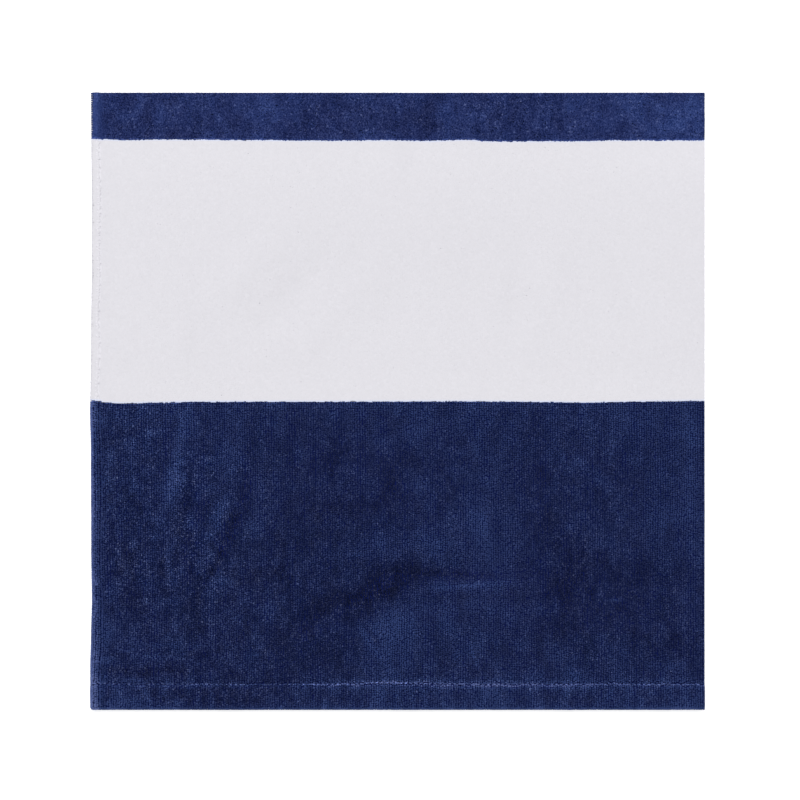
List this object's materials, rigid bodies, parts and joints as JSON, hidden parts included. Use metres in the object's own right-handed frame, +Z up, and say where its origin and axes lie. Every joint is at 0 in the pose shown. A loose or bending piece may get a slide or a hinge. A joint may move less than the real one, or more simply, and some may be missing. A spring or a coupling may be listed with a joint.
{
  "type": "beach towel",
  "caption": "Flat-lying length of navy and white striped velour beach towel cloth, with a wide turned end hem, a narrow side hem and straight cut far edges.",
  "frame": {"origin": "middle of the cloth's bounding box, on the surface that the underside lies on", "axes": "+Z up out of the pile face; the wide end hem runs along -Y and the narrow side hem along -X"},
  "size_m": [0.4298, 0.4316, 0.006],
  "materials": {
    "navy_velour": "sheared cotton pile, matt, with the nap lying lighter and darker in places",
    "white_velour": "sheared cotton pile, matt, even",
    "hem_thread": "plied sewing thread, slightly lustrous"
  },
  "bodies": {
    "root": {"towel_cloth": "navy_velour"}
  },
  "joints": []
}
